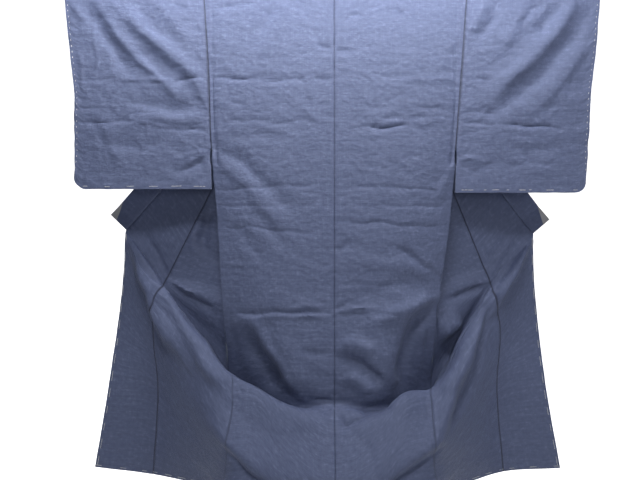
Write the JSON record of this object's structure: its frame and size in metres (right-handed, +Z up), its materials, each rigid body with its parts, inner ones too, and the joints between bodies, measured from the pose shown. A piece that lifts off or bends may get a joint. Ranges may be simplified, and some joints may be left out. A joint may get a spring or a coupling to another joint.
{
  "type": "kimono on a hanging rod",
  "caption": "Plain woven kimono spread on a rod through its sleeves, back outward, fronts folded open behind, skirt sagging between the held-out collar ends.",
  "frame": {"origin": "middle of the hanging rod, on its axis, where the rod is held up", "axes": "+X along the rod towards the wearer's right, +Y from the garment's back to its front, +Z up"},
  "size_m": [1.4, 0.263, 1.2913],
  "materials": {
    "indigo_cloth": "fine plain weave with a soft sheen",
    "pale_wood": "smooth, plain"
  },
  "bodies": {
    "root": {"left_body": "indigo_cloth", "right_body": "indigo_cloth", "left_okumi": "indigo_cloth", "right_okumi": "indigo_cloth", "left_sleeve": "indigo_cloth", "right_sleeve": "indigo_cloth", "collar": "indigo_cloth", "rod": "pale_wood"}
  },
  "joints": []
}
